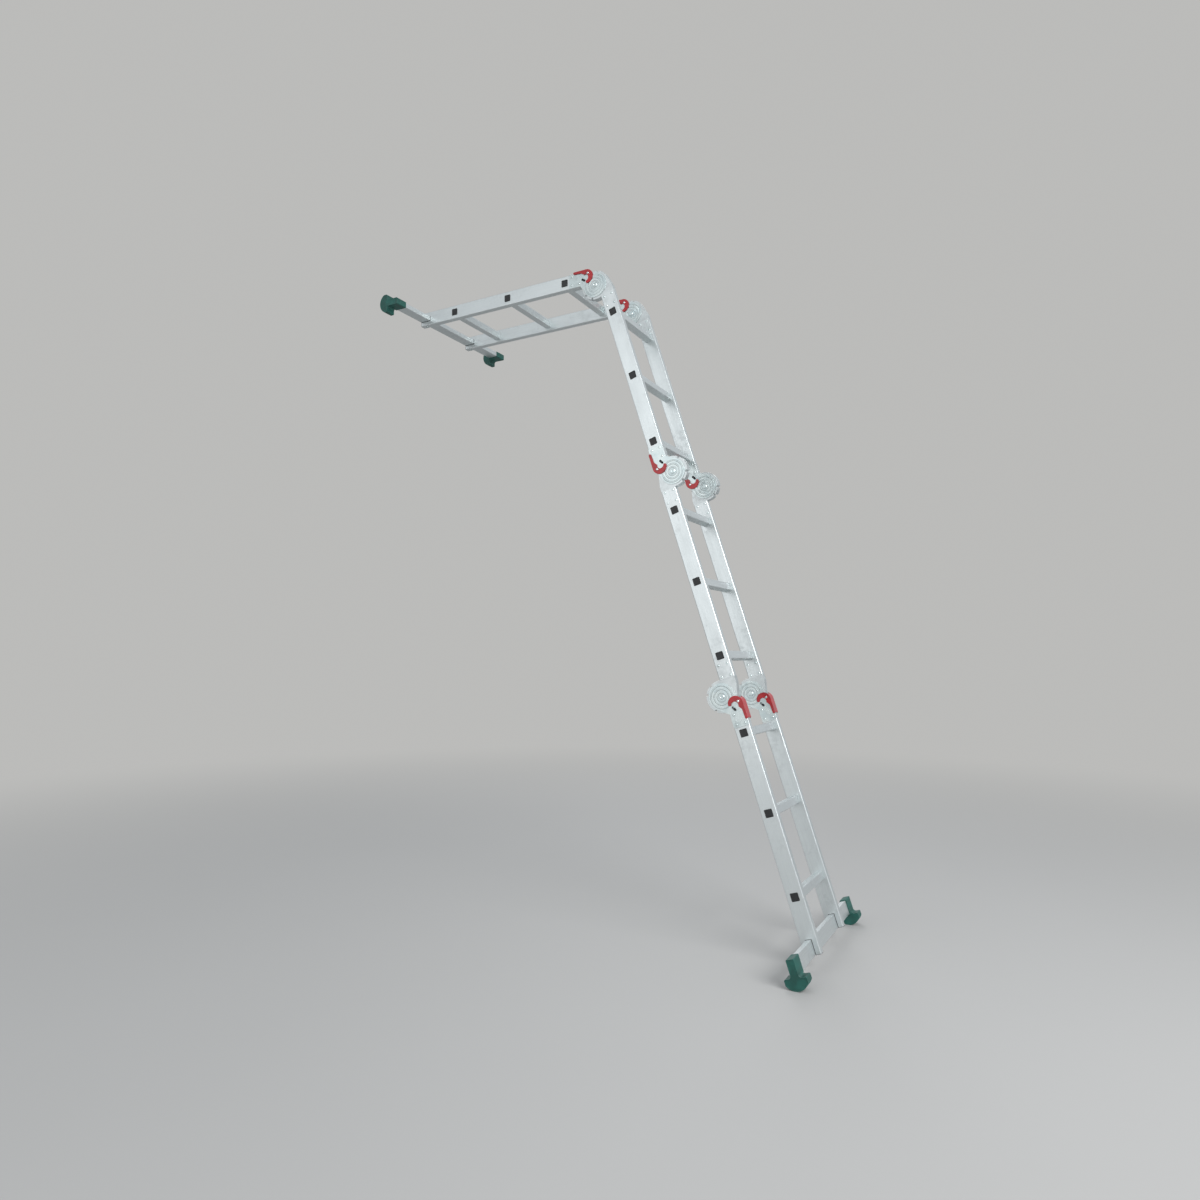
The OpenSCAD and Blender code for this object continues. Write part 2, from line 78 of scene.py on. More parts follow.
# Name, place, power in watts and diameter of each lamp
LAMPS = (("key_lamp", (4.4, -1.8, 3.4), 210, 3.4),
         ("front_lamp", (-1.2, -5.4, 2.2), 66, 6.0),
         ("back_lamp", (-1.5, 4.0, 3.6), 45, 2.6))
LAMP_TARGET = Vector((0, 0, 1.25))


# ---- sizes and colours that a user may change ----

def length(name, description, default):
    return bpy.props.FloatProperty(name=name, description=description, default=default,
                                   min=0, subtype="DISTANCE", unit="LENGTH", precision=5)


def colour(name, description, default):
    return bpy.props.FloatVectorProperty(name=name, description=description, default=default,
                                         size=3, min=0, max=1, subtype="COLOR")


class LadderSizes(bpy.types.PropertyGroup):
    sheet_edge: length("Sheet edge", "Rounding of the edges of the pressed sheet levers", 0.0005)
    plate_edge: length("Plate edge", "Rounding of the edges of the hinge plates", 0.0004)
    head_edge: length("Head edge", "Rounding of the edges of the cast hinge heads", 0.0007)
    plug_face: length("Plug face", "Width of the square face of a rung plug", 0.0278)
    plug_body: length("Plug body", "Width of the part of a rung plug inside the rung", 0.0260)
    plug_reach: length("Plug reach", "Length of a rung plug inside the rung", 0.0118)
    plug_corner: length("Plug corner", "Rounding of the four corners of a rung plug", 0.0030)
    plug_edge: length("Plug edge", "Rounding of the edges of the rung plugs", 0.0004)
    plug_rim: length("Plug rim", "Width of the flat rim round the dish of a rung plug", 0.0018)
    plug_dish: length("Plug dish", "Depth of the dish in a rung plug", 0.0009)
    liner_edge: length("Liner edge", "Rounding of the edges of the end plugs", 0.0004)
    foot_edge: length("Foot edge", "Rounding of the edges of the moulded feet", 0.0012)
    foot_panel: length("Foot panel", "Width of the rim round the panel in the end of a foot", 0.0017)
    foot_panel_depth: length("Foot panel depth", "Depth of the panel in the end of a foot", 0.0008)
    sole_radius: length("Sole radius", "Radius of the rocker sole", 0.042)
    tread_rib: length("Tread rib", "Half width of a rib between two grooves of the sole", 0.0011)
    tread_depth: length("Tread depth", "Depth of the grooves of the sole", 0.0009)
    wire: length("Spring wire", "Diameter of the wire of the lever springs", 0.0011)
    coil_radius: length("Coil radius", "Radius of the lever springs at the middle of the wire", 0.0033)
    coil_length: length("Coil length", "Length of a lever spring", 0.0189)
    coil_turns: bpy.props.IntProperty(name="Coil turns", description="Turns of a lever spring",
                                      default=4, min=1, max=12)


class LadderColours(bpy.types.PropertyGroup):
    aluminium: colour("Aluminium", "Mill finished aluminium", (0.70, 0.745, 0.75))
    zinc: colour("Zinc", "Bright zinc plating", (0.62, 0.685, 0.68))
    blackened: colour("Blackened steel", "Lock bolts", (0.045, 0.045, 0.048))
    spring: colour("Spring steel", "Spring wire", (0.16, 0.16, 0.17))
    red: colour("Red paint", "Levers", (0.36, 0.006, 0.011))
    black: colour("Black plastic", "Rung plugs and end plugs", (0.012, 0.013, 0.014))
    green: colour("Green rubber", "Feet", (0.006, 0.078, 0.062))
    dust: colour("Dust", "Dust settled on upward faces", (0.42, 0.40, 0.37))
    floor: colour("Floor", "Studio floor near the ladder", (0.43, 0.43, 0.425))
    backdrop: colour("Backdrop", "Tone that the floor passes into", (0.50, 0.50, 0.49))


class LadderStage(bpy.types.PropertyGroup):
    camera_place: bpy.props.FloatVectorProperty(
        name="Camera place", description="Where the camera stands", size=3,
        default=(1.5868, -2.9334, 1.0145), subtype="TRANSLATION", unit="LENGTH")
    camera_turn: bpy.props.FloatProperty(
        name="Camera turn", description="Turn of the view from +Y, towards -X",
        default=math.radians(29.35), subtype="ANGLE", unit="ROTATION")
    camera_rise: bpy.props.FloatProperty(
        name="Camera rise", description="Rise of the view over level",
        default=math.radians(3.51), subtype="ANGLE", unit="ROTATION")
    camera_lens: bpy.props.FloatProperty(
        name="Lens", description="Focal length on a 36 mm sensor, in millimetres", default=24.81, min=1)
    camera_shift: bpy.props.FloatVectorProperty(
        name="Lens shift", description="Shift of the lens, as shares of the sensor", size=2,
        default=(0.0047, 0.0057))
    floor_size: length("Floor size", "Side of the studio floor", 60.0)


# ---- modelling helpers ----

def only(obj):
    """Leaves obj as the one selected and active object, in object mode."""
    active = bpy.context.view_layer.objects.active
    if active and active.mode != "OBJECT":
        bpy.ops.object.mode_set(mode="OBJECT")
    bpy.ops.object.select_all(action="DESELECT")
    obj.select_set(True)
    bpy.context.view_layer.objects.active = obj


def merged_copy(node, name):
    """A copy of a CAD node as a closed mesh, its flat faces each in one piece."""
    piece = bpy.data.objects.new(name, NODES[node].data.copy())
    piece.data.name = name
    bpy.context.scene.collection.objects.link(piece)
    piece.data.materials.clear()
    only(piece)
    if piece.data.has_custom_normals:
        bpy.ops.mesh.customdata_custom_splitnormals_clear()
    bpy.ops.object.mode_set(mode="EDIT")
    bpy.ops.mesh.select_all(action="SELECT")
    bpy.ops.mesh.remove_doubles(threshold=WELD)
    bpy.ops.mesh.dissolve_limited(angle_limit=FLAT_WITHIN, use_dissolve_boundaries=False)
    bpy.ops.object.mode_set(mode="OBJECT")
    return piece


def pick_faces(obj, wanted):
    """Selects, in edit mode, the faces for which wanted(centre, normal) is true."""
    only(obj)
    bpy.ops.object.mode_set(mode="EDIT")
    bpy.ops.mesh.select_mode(type="FACE")
    bpy.ops.mesh.select_all(action="DESELECT")
    bpy.ops.object.mode_set(mode="OBJECT")
    count = 0
    for face in obj.data.polygons:
        face.select = bool(wanted(face.center, face.normal))
        count += face.select
    bpy.ops.object.mode_set(mode="EDIT")
    return count


def soften(obj, width, segments=2, angle=35):
    """Rounds the sharp edges and shades the rest smooth, with flat faces kept flat."""
    only(obj)
    if width > 0:
        bevel = obj.modifiers.new("Rounded edges", "BEVEL")
        bevel.limit_method = "ANGLE"
        bevel.angle_limit = math.radians(angle)
        bevel.width = width
        bevel.segments = segments
        bevel.use_clamp_overlap = False
        bevel.miter_outer = "MITER_ARC"
        bpy.ops.object.modifier_apply(modifier=bevel.name)
    bpy.ops.object.shade_smooth_by_angle(angle=SMOOTH_WITHIN)
    weighted = obj.modifiers.new("Weighted normals", "WEIGHTED_NORMAL")
    weighted.keep_sharp = True
    bpy.ops.object.modifier_apply(modifier=weighted.name)


def settle(piece, node, material):
    """Gives a piece its finish and its body, in place of its CAD node."""
    piece.data.materials.clear()
    piece.data.materials.append(material)
    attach(piece, BODY_OF[node])
    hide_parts(node)


# ---- shader helpers ----

class Tree:
    """A short way to place and join nodes in one node tree."""

    def __init__(self, tree):
        self.nodes = tree.nodes
        self.links = tree.links
        self.column = 0

    def place(self, kind, inputs=None, **settings):
        node = self.nodes.new(kind)
        node.location = (self.column * 190, 0)
        self.column += 1
        for key, value in settings.items():
            setattr(node, key, value)
        for key, value in (inputs or {}).items():
            self.feed(node.inputs[key], value)
        return node

    def feed(self, socket, value):
        if isinstance(value, bpy.types.NodeSocket):
            self.links.new(value, socket)
        else:
            socket.default_value = value

    def noise(self, vector, scale, detail=3.0, rough=0.5):
        return self.place("ShaderNodeTexNoise", {"Vector": vector, "Scale": scale, "Detail": detail,
                                                 "Roughness": rough}).outputs["Fac"]

    def stretch(self, vector, scale, turn=(0, 0, 0)):
        return self.place("ShaderNodeMapping", {"Vector": vector, "Scale": scale,
                                                "Rotation": turn}).outputs["Vector"]

    def band(self, value, low, high, out_low=0.0, out_high=1.0, smooth=True):
        node = self.place("ShaderNodeMapRange", {"Value": value, "From Min": low, "From Max": high,
                                                 "To Min": out_low, "To Max": out_high})
        node.interpolation_type = "SMOOTHSTEP" if smooth else "LINEAR"
        return node.outputs["Result"]

    def math(self, operation, a, b=0.0, clamp=False):
        return self.place("ShaderNodeMath", {0: a, 1: b}, operation=operation,
                          use_clamp=clamp).outputs[0]

    def blend(self, factor, a, b, kind="MIX"):
        node = self.place("ShaderNodeMix", data_type="RGBA", blend_type=kind)
        node.clamp_factor = True
        for socket, value in ((node.inputs[0], factor), (node.inputs[6], a), (node.inputs[7], b)):
            if isinstance(value, (tuple, list)) and len(value) == 3:
                value = (*value, 1.0)
            self.feed(socket, value)
        return node.outputs[2]


def effect_group(name, inputs, outputs):
    """An empty shader group with its sockets, and the tree that fills it."""
    group = bpy.data.node_groups.new(name, "ShaderNodeTree")
    for label, kind, default in inputs:
        socket = group.interface.new_socket(name=label, in_out="INPUT", socket_type=kind)
        if default is not None:
            socket.default_value = default
    for label, kind in outputs:
        group.interface.new_socket(name=label, in_out="OUTPUT", socket_type=kind)
    tree = Tree(group)
    return group, tree, tree.place("NodeGroupInput"), tree.place("NodeGroupOutput")


def drawn_grain():
    """Fine lines along X, as a die or a brush leaves them, over slow changes of tone."""
    group, tree, given, made = effect_group(
        "Drawn grain",
        [("Vector", "NodeSocketVector", None), ("Fineness", "NodeSocketFloat", 900.0),
         ("Depth", "NodeSocketFloat", 0.5)],
        [("Tone", "NodeSocketFloat"), ("Height", "NodeSocketFloat")])
    vector = given.outputs["Vector"]
    lines = tree.noise(tree.stretch(vector, (0.012, 1, 1)), given.outputs["Fineness"], 4, 0.6)
    broad = tree.noise(tree.stretch(vector, (0.25, 1, 1)), 24.0, 3, 0.55)
    tone = tree.math("ADD", tree.math("MULTIPLY", lines, 0.6), tree.math("MULTIPLY", broad, 0.4))
    tree.feed(made.inputs["Tone"], tree.band(tone, 0.33, 0.67, smooth=False))
    tree.feed(made.inputs["Height"], tree.math("MULTIPLY", lines, given.outputs["Depth"]))
    return group


def handling_marks():
    """Smudges and short fine scratches left by hands and transport."""
    group, tree, given, made = effect_group(
        "Handling marks",
        [("Vector", "NodeSocketVector", None), ("Amount", "NodeSocketFloat", 0.5)],
        [("Smudge", "NodeSocketFloat"), ("Scratch", "NodeSocketFloat")])
    vector = given.outputs["Vector"]
    cloud = tree.band(tree.noise(vector, 9.0, 5, 0.6), 0.46, 0.66)
    fine = tree.band(tree.noise(vector, 60.0, 4, 0.6), 0.4, 0.62)
    smudge = tree.math("MULTIPLY", tree.math("MULTIPLY", cloud, fine), given.outputs["Amount"])
    one = tree.noise(tree.stretch(vector, (1, 1, 0.05), (0.5, 0.3, 0.9)), 420.0, 2, 0.5)
    two = tree.noise(tree.stretch(vector, (0.05, 1, 1), (0.2, 0.8, 0.4)), 380.0, 2, 0.5)
    lines = tree.math("MAXIMUM", tree.band(one, 0.70, 0.74), tree.band(two, 0.70, 0.74))
    tree.feed(made.inputs["Smudge"], smudge)
    tree.feed(made.inputs["Scratch"], tree.math("MULTIPLY", lines, given.outputs["Amount"]))
    return group


def edge_wear():
    """1 along outer edges within Reach, broken up by noise, and 0 on the faces."""
    group, tree, given, made = effect_group(
        "Edge wear",
        [("Vector", "NodeSocketVector", None), ("Reach", "NodeSocketFloat", 0.001),
         ("Breakup", "NodeSocketFloat", 180.0)],
        [("Mask", "NodeSocketFloat")])
    round_normal = tree.place("ShaderNodeBevel", {"Radius": given.outputs["Reach"]}, samples=6)
    flat = tree.place("ShaderNodeNewGeometry")
    dot = tree.place("ShaderNodeVectorMath", {0: round_normal.outputs[0], 1: flat.outputs["Normal"]},
                     operation="DOT_PRODUCT")
    edge = tree.band(dot.outputs["Value"], 0.995, 0.90)
    rough = tree.band(tree.noise(given.outputs["Vector"], given.outputs["Breakup"], 4, 0.6), 0.36, 0.6)
    tree.feed(made.inputs["Mask"], tree.math("MULTIPLY", edge, rough, clamp=True))
    return group


def settled_dust():
    """Thin uneven dust on faces that look upwards."""
    group, tree, given, made = effect_group(
        "Settled dust",
        [("Vector", "NodeSocketVector", None), ("Amount", "NodeSocketFloat", 0.3)],
        [("Mask", "NodeSocketFloat")])
    split = tree.place("ShaderNodeSeparateXYZ",
                       {0: tree.place("ShaderNodeNewGeometry").outputs["Normal"]})
    upward = tree.band(split.outputs["Z"], 0.2, 0.95)
    cloud = tree.band(tree.noise(given.outputs["Vector"], 28.0, 6, 0.65), 0.35, 0.75)
    tree.feed(made.inputs["Mask"],
              tree.math("MULTIPLY", tree.math("MULTIPLY", upward, cloud), given.outputs["Amount"]))
    return group


def moulded_skin():
    """The fine spark-eroded texture of moulded plastic, with faint flow marks."""
    group, tree, given, made = effect_group(
        "Moulded skin",
        [("Vector", "NodeSocketVector", None), ("Fineness", "NodeSocketFloat", 1400.0)],
        [("Height", "NodeSocketFloat"), ("Tone", "NodeSocketFloat")])
    grain = tree.noise(given.outputs["Vector"], given.outputs["Fineness"], 2, 0.6)
    flow = tree.noise(tree.stretch(given.outputs["Vector"], (1, 0.3, 1)), 40.0, 3, 0.5)
    tree.feed(made.inputs["Height"], grain)
    tree.feed(made.inputs["Tone"], flow)
    return group


GROUPS = {}
MATERIALS = {}


def effect(tree, key, vector, **values):
    """Places a shared effect in a material, with this material's own values."""
    node = tree.place("ShaderNodeGroup")
    node.node_tree = GROUPS[key]
    tree.feed(node.inputs["Vector"], vector)
    for label, value in values.items():
        tree.feed(node.inputs[label], value)
    return node.outputs


def new_material(name, metallic, roughness):
    """A material with its Principled BSDF, whose uniform numbers stand on its own sockets."""
    material = bpy.data.materials.new(name)
    material.use_nodes = True
    tree = Tree(material.node_tree)
    shader = next(n for n in tree.nodes if n.type == "BSDF_PRINCIPLED")
    shader.inputs["Metallic"].default_value = metallic
    shader.inputs["Roughness"].default_value = roughness
    place = tree.place("ShaderNodeTexCoord").outputs["Object"]
    return material, tree, shader, place


def raise_surface(tree, shader, height, strength, distance):
    bump = tree.place("ShaderNodeBump", {"Height": height, "Strength": strength, "Distance": distance})
    tree.feed(shader.inputs["Normal"], bump.outputs["Normal"])


def shade(rgb, factor):
    return tuple(max(0.0, min(1.0, channel * factor)) for channel in rgb)


def drawn_aluminium(name, rgb, turn, fineness=900.0, roughness=0.36, metallic=0.9):
    """Extruded aluminium, its grain along the extrusion."""
    material, tree, shader, place = new_material(name, metallic, roughness)
    along = tree.stretch(place, (1, 1, 1), turn)
    grain = effect(tree, "grain", along, Fineness=fineness, Depth=0.5)
    marks = effect(tree, "marks", place, Amount=0.5)
    wear = effect(tree, "wear", place, Reach=0.0012, Breakup=60.0)
    dust = effect(tree, "dust", place, Amount=0.12)
    tone = tree.blend(grain["Tone"], shade(rgb, 0.91), shade(rgb, 1.05))
    tone = tree.blend(marks["Smudge"], tone, shade(rgb, 0.80))
    tone = tree.blend(marks["Scratch"], tone, shade(rgb, 1.12))
    tone = tree.blend(wear["Mask"], tone, shade(rgb, 1.14))
    tone = tree.blend(dust["Mask"], tone, tuple(bpy.context.scene.ladder_colours.dust))
    tree.feed(shader.inputs["Base Color"], tone)
    rough = tree.band(grain["Tone"], 0.0, 1.0, roughness + 0.07, roughness - 0.05, smooth=False)
    rough = tree.math("ADD", rough, tree.math("MULTIPLY", marks["Smudge"], 0.16))
    rough = tree.math("SUBTRACT", rough, tree.math("MULTIPLY", wear["Mask"], 0.08), clamp=True)
    tree.feed(shader.inputs["Roughness"], rough)
    raise_surface(tree, shader, tree.math("ADD", grain["Height"], marks["Scratch"]), 0.22, 0.00006)
    return material


def cast_aluminium(name, rgb):
    """Pressure cast hinge heads: a fine skin and slow waves of tone."""
    material, tree, shader, place = new_material(name, 0.9, 0.4)
    skin = effect(tree, "skin", place, Fineness=1100.0)
    marks = effect(tree, "marks", place, Amount=0.6)
    wear = effect(tree, "wear", place, Reach=0.0016, Breakup=90.0)
    tone = tree.blend(tree.band(skin["Tone"], 0.35, 0.65), shade(rgb, 0.88), shade(rgb, 1.02))
    tone = tree.blend(marks["Smudge"], tone, shade(rgb, 0.74))
    tone = tree.blend(wear["Mask"], tone, shade(rgb, 1.15))
    tree.feed(shader.inputs["Base Color"], tone)
    rough = tree.math("ADD", tree.band(skin["Tone"], 0.3, 0.7, 0.36, 0.46),
                      tree.math("MULTIPLY", marks["Smudge"], 0.12))
    tree.feed(shader.inputs["Roughness"], tree.math("SUBTRACT", rough,
                                                    tree.math("MULTIPLY", wear["Mask"], 0.12), clamp=True))
    raise_surface(tree, shader, skin["Height"], 0.2, 0.00008)
    return material


def zinc_plating(name, rgb, roughness=0.27):
    """Zinc on pressed steel: faint crystals, a bluish bloom and fine rubs."""
    material, tree, shader, place = new_material(name, 1.0, roughness)
    crystals = tree.place("ShaderNodeTexVoronoi", {"Vector": place, "Scale": 210.0, "Randomness": 1.0})
    split = tree.place("ShaderNodeSeparateColor", {0: crystals.outputs["Color"]})
    bloom = tree.band(tree.noise(place, 30.0, 5, 0.6), 0.38, 0.66)
    marks = effect(tree, "marks", place, Amount=0.6)
    wear = effect(tree, "wear", place, Reach=0.0009, Breakup=140.0)
    tone = tree.blend(tree.math("MULTIPLY", split.outputs[0], 0.7), shade(rgb, 0.97), shade(rgb, 1.04))
    tone = tree.blend(tree.math("MULTIPLY", bloom, 0.4), tone, (rgb[0] * 0.86, rgb[1] * 0.95, rgb[2]))
    tone = tree.blend(marks["Smudge"], tone, shade(rgb, 0.78))
    tone = tree.blend(wear["Mask"], tone, shade(rgb, 1.2))
    tree.feed(shader.inputs["Base Color"], tone)
    rough = tree.band(split.outputs[1], 0.0, 1.0, roughness - 0.015, roughness + 0.02, smooth=False)
    rough = tree.math("ADD", rough, tree.math("MULTIPLY", bloom, 0.08))
    rough = tree.math("ADD", rough, tree.math("MULTIPLY", marks["Smudge"], 0.15), clamp=True)
    tree.feed(shader.inputs["Roughness"], rough)
    raise_surface(tree, shader, tree.math("ADD", tree.noise(place, 900.0, 3, 0.5), marks["Scratch"]),
                  0.15, 0.00005)
    return material


def dark_steel(name, rgb, roughness):
    """Blackened or oiled steel, rubbed bright where it slides."""
    material, tree, shader, place = new_material(name, 0.8, roughness)
    wear = effect(tree, "wear", place, Reach=0.0006, Breakup=300.0)
    patch = tree.noise(place, 260.0, 4, 0.6)
    tone = tree.blend(tree.band(patch, 0.35, 0.65), shade(rgb, 0.7), shade(rgb, 1.5))
    tone = tree.blend(wear["Mask"], tone, (0.34, 0.34, 0.35))
    tree.feed(shader.inputs["Base Color"], tone)
    tree.feed(shader.inputs["Roughness"], tree.band(patch, 0.3, 0.7, roughness - 0.08, roughness + 0.12))
    raise_surface(tree, shader, patch, 0.12, 0.00005)
    return material


def red_paint(name, rgb):
    """Gloss powder coat with its orange peel, worn through along a few edges."""
    material, tree, shader, place = new_material(name, 0.0, 0.3)
    shader.inputs["Coat Weight"].default_value = 0.35
    shader.inputs["Coat Roughness"].default_value = 0.12
    peel = tree.noise(place, 620.0, 2, 0.5)
    thick = tree.noise(place, 38.0, 3, 0.5)
    marks = effect(tree, "marks", place, Amount=0.5)
    wear = effect(tree, "wear", place, Reach=0.0005, Breakup=330.0)
    dust = effect(tree, "dust", place, Amount=0.06)
    tone = tree.blend(tree.band(thick, 0.32, 0.68), shade(rgb, 0.84), shade(rgb, 1.14))
    tone = tree.blend(marks["Scratch"], tone, (rgb[0] * 1.25, rgb[1] * 4, rgb[2] * 4))
    tone = tree.blend(tree.math("MULTIPLY", wear["Mask"], 0.3), tone, (0.40, 0.13, 0.12))
    tone = tree.blend(dust["Mask"], tone, tuple(bpy.context.scene.ladder_colours.dust))
    tree.feed(shader.inputs["Base Color"], tone)
    rough = tree.math("ADD", tree.band(thick, 0.3, 0.7, 0.27, 0.36),
                      tree.math("MULTIPLY", marks["Smudge"], 0.2), clamp=True)
    tree.feed(shader.inputs["Roughness"], rough)
    raise_surface(tree, shader, peel, 0.14, 0.00016)
    return material


def black_plastic(name, rgb):
    """Moulded plugs: a dull spark-eroded skin, greyer along the edges."""
    material, tree, shader, place = new_material(name, 0.0, 0.5)
    skin = effect(tree, "skin", place, Fineness=1500.0)
    wear = effect(tree, "wear", place, Reach=0.0008, Breakup=240.0)
    dust = effect(tree, "dust", place, Amount=0.16)
    marks = effect(tree, "marks", place, Amount=0.5)
    tone = tree.blend(tree.band(skin["Tone"], 0.35, 0.65), shade(rgb, 0.8), shade(rgb, 1.7))
    tone = tree.blend(tree.math("MULTIPLY", wear["Mask"], 0.5), tone, (0.07, 0.07, 0.07))
    tone = tree.blend(marks["Scratch"], tone, (0.09, 0.09, 0.09))
    tone = tree.blend(dust["Mask"], tone, tuple(bpy.context.scene.ladder_colours.dust))
    tree.feed(shader.inputs["Base Color"], tone)
    tree.feed(shader.inputs["Roughness"], tree.band(skin["Tone"], 0.3, 0.7, 0.43, 0.57))
    raise_surface(tree, shader, skin["Height"], 0.25, 0.00008)
    return material


def green_rubber(name, rgb):
    """Moulded feet: matt rubber with a paler bloom, scuffed at the rim of the sole."""
    material, tree, shader, place = new_material(name, 0.0, 0.55)
    skin = effect(tree, "skin", place, Fineness=1200.0)
    wear = effect(tree, "wear", place, Reach=0.0022, Breakup=110.0)
    dust = effect(tree, "dust", place, Amount=0.22)
    bloom = tree.band(tree.noise(place, 22.0, 5, 0.6), 0.4, 0.7)
    tone = tree.blend(tree.band(skin["Tone"], 0.35, 0.65), shade(rgb, 0.84), shade(rgb, 1.2))
    tone = tree.blend(tree.math("MULTIPLY", bloom, 0.22), tone, (0.05, 0.19, 0.165))
    tone = tree.blend(tree.math("MULTIPLY", wear["Mask"], 0.4), tone, (0.09, 0.26, 0.23))
    tone = tree.blend(dust["Mask"], tone, (0.20, 0.30, 0.28))
    tree.feed(shader.inputs["Base Color"], tone)
    rough = tree.math("ADD", tree.band(skin["Tone"], 0.3, 0.7, 0.48, 0.6),
                      tree.math("MULTIPLY", bloom, 0.08), clamp=True)
    tree.feed(shader.inputs["Roughness"], rough)
    raise_surface(tree, shader, skin["Height"], 0.3, 0.0001)
    return material


def floor_finish(rgb, backdrop):
    """A pale floor that passes into the backdrop's tone away from the ladder."""
    material, tree, shader, place = new_material("Studio floor", 0.0, 0.7)
    tree.feed(shader.inputs["Base Color"],
              tree.blend(tree.noise(place, 0.8, 3, 0.5), shade(rgb, 0.98), shade(rgb, 1.02)))
    away = tree.place("ShaderNodeVectorMath", {0: place}, operation="LENGTH").outputs["Value"]
    seen = tree.place("ShaderNodeLightPath").outputs["Is Camera Ray"]
    share = tree.math("MULTIPLY", tree.band(away, 1.2, 6.5), seen)
    glow = tree.place("ShaderNodeEmission", {"Color": (*backdrop, 1), "Strength": 1.0})
    mixed = tree.place("ShaderNodeMixShader", {0: share, 1: shader.outputs[0], 2: glow.outputs[0]})
    output = next(n for n in tree.nodes if n.type == "OUTPUT_MATERIAL")
    tree.feed(output.inputs["Surface"], mixed.outputs[0])
    return material


# ---- operators ----

class LADDER_OT_finishes(bpy.types.Operator):
    """Makes the shared effects and one material for each finish of the ladder"""
    bl_idname = "ladder.finishes"
    bl_label = "Make the finishes"

    def execute(self, context):
        pick = context.scene.ladder_colours
        GROUPS.update(grain=drawn_grain(), marks=handling_marks(), wear=edge_wear(),
                      dust=settled_dust(), skin=moulded_skin())
        aluminium = tuple(pick.aluminium)
        quarter = math.pi / 2
        MATERIALS.update(
            leaning_stile=drawn_aluminium("Stile aluminium, leaning", aluminium, (0, quarter + LEAN, 0)),
            level_stile=drawn_aluminium("Stile aluminium, level", aluminium, (0, 0, 0)),
            rung=drawn_aluminium("Rung aluminium", shade(aluminium, 1.03), (0, 0, -quarter), 1100.0, 0.33),
            bar=drawn_aluminium("Bar aluminium", aluminium, (0, 0, -quarter), 800.0, 0.34),
            head=cast_aluminium("Hinge head casting", shade(aluminium, 0.97)),
            plate=zinc_plating("Zinc plated plate", tuple(pick.zinc)),
            rivet=zinc_plating("Zinc plated rivet", shade(tuple(pick.zinc), 0.95), 0.24),
            bolt=dark_steel("Blackened bolt", tuple(pick.blackened), 0.38),
            spring=dark_steel("Oiled spring wire", tuple(pick.spring), 0.3),
            lever=red_paint("Red powder coat", tuple(pick.red)),
            plastic=black_plastic("Black moulded plastic", tuple(pick.black)),
            foot=green_rubber("Green moulded rubber", tuple(pick.green)))
        return {"FINISHED"}


class LADDER_OT_frame_metal(bpy.types.Operator):
    """Finishes the stiles, rungs, bars, pivots, pins, rivets and screws that keep their CAD shape"""
    bl_idname = "ladder.frame_metal"
    bl_label = "Finish the frame metal"

    def execute(self, context):
        finish = {"rung_aluminium": "rung", "bar_aluminium": "bar", "zinc_rivet": "rivet"}
        for node, obj in NODES.items():
            slot = SLOT_OF[node]
            if slot == "stile_aluminium":
                key = "level_stile" if BODY_OF[node] == "section_4" else "leaning_stile"
            elif slot in finish:
                key = finish[slot]
            else:
                continue
            obj.data.materials.clear()
            obj.data.materials.append(MATERIALS[key])
            only(obj)
            bpy.ops.object.shade_smooth_by_angle(angle=math.radians(35))
        return {"FINISHED"}


class LADDER_OT_hinge_heads(bpy.types.Operator):
    """Notched cast heads with softened edges"""
    bl_idname = "ladder.hinge_heads"
    bl_label = "Make the hinge heads"

    def execute(self, context):
        for hinge in HINGES:
            node = f"{hinge}_hinge_heads"
            piece = merged_copy(node, f"{hinge}_cast_heads")
            soften(piece, context.scene.ladder_sizes.head_edge)
            settle(piece, node, MATERIALS["head"])
        return {"FINISHED"}


class LADDER_OT_hinge_plates(bpy.types.Operator):
    """Pressed plates with rounded edges and rolled ridges"""
    bl_idname = "ladder.hinge_plates"
    bl_label = "Make the hinge plates"

    def execute(self, context):
        for hinge in HINGES:
            node = f"{hinge}_hinge_plates"
            piece = merged_copy(node, f"{hinge}_pressed_plates")
            soften(piece, context.scene.ladder_sizes.plate_edge, 2, 25)
            settle(piece, node, MATERIALS["plate"])
        return {"FINISHED"}


class LADDER_OT_levers(bpy.types.Operator):
    """Bent sheet levers with rounded, painted edges"""
    bl_idname = "ladder.levers"
    bl_label = "Make the levers"

    def execute(self, context):
        for hinge in HINGES:
            for side in SIDES:
                node = f"{hinge}_{side}_lever"
                piece = merged_copy(node, f"{hinge}_{side}_painted_lever")
                soften(piece, context.scene.ladder_sizes.sheet_edge, 3)
                settle(piece, node, MATERIALS["lever"])
        return {"FINISHED"}


class LADDER_OT_lock_bolts(bpy.types.Operator):
    """Turned lock bolts with chamfered ends"""
    bl_idname = "ladder.lock_bolts"
    bl_label = "Make the lock bolts"

    def execute(self, context):
        for hinge in HINGES:
            for side in SIDES:
                node = f"{hinge}_{side}_lock_bolt"
                piece = merged_copy(node, f"{hinge}_{side}_turned_bolt")
                soften(piece, context.scene.ladder_sizes.plate_edge)
                settle(piece, node, MATERIALS["bolt"])
        return {"FINISHED"}


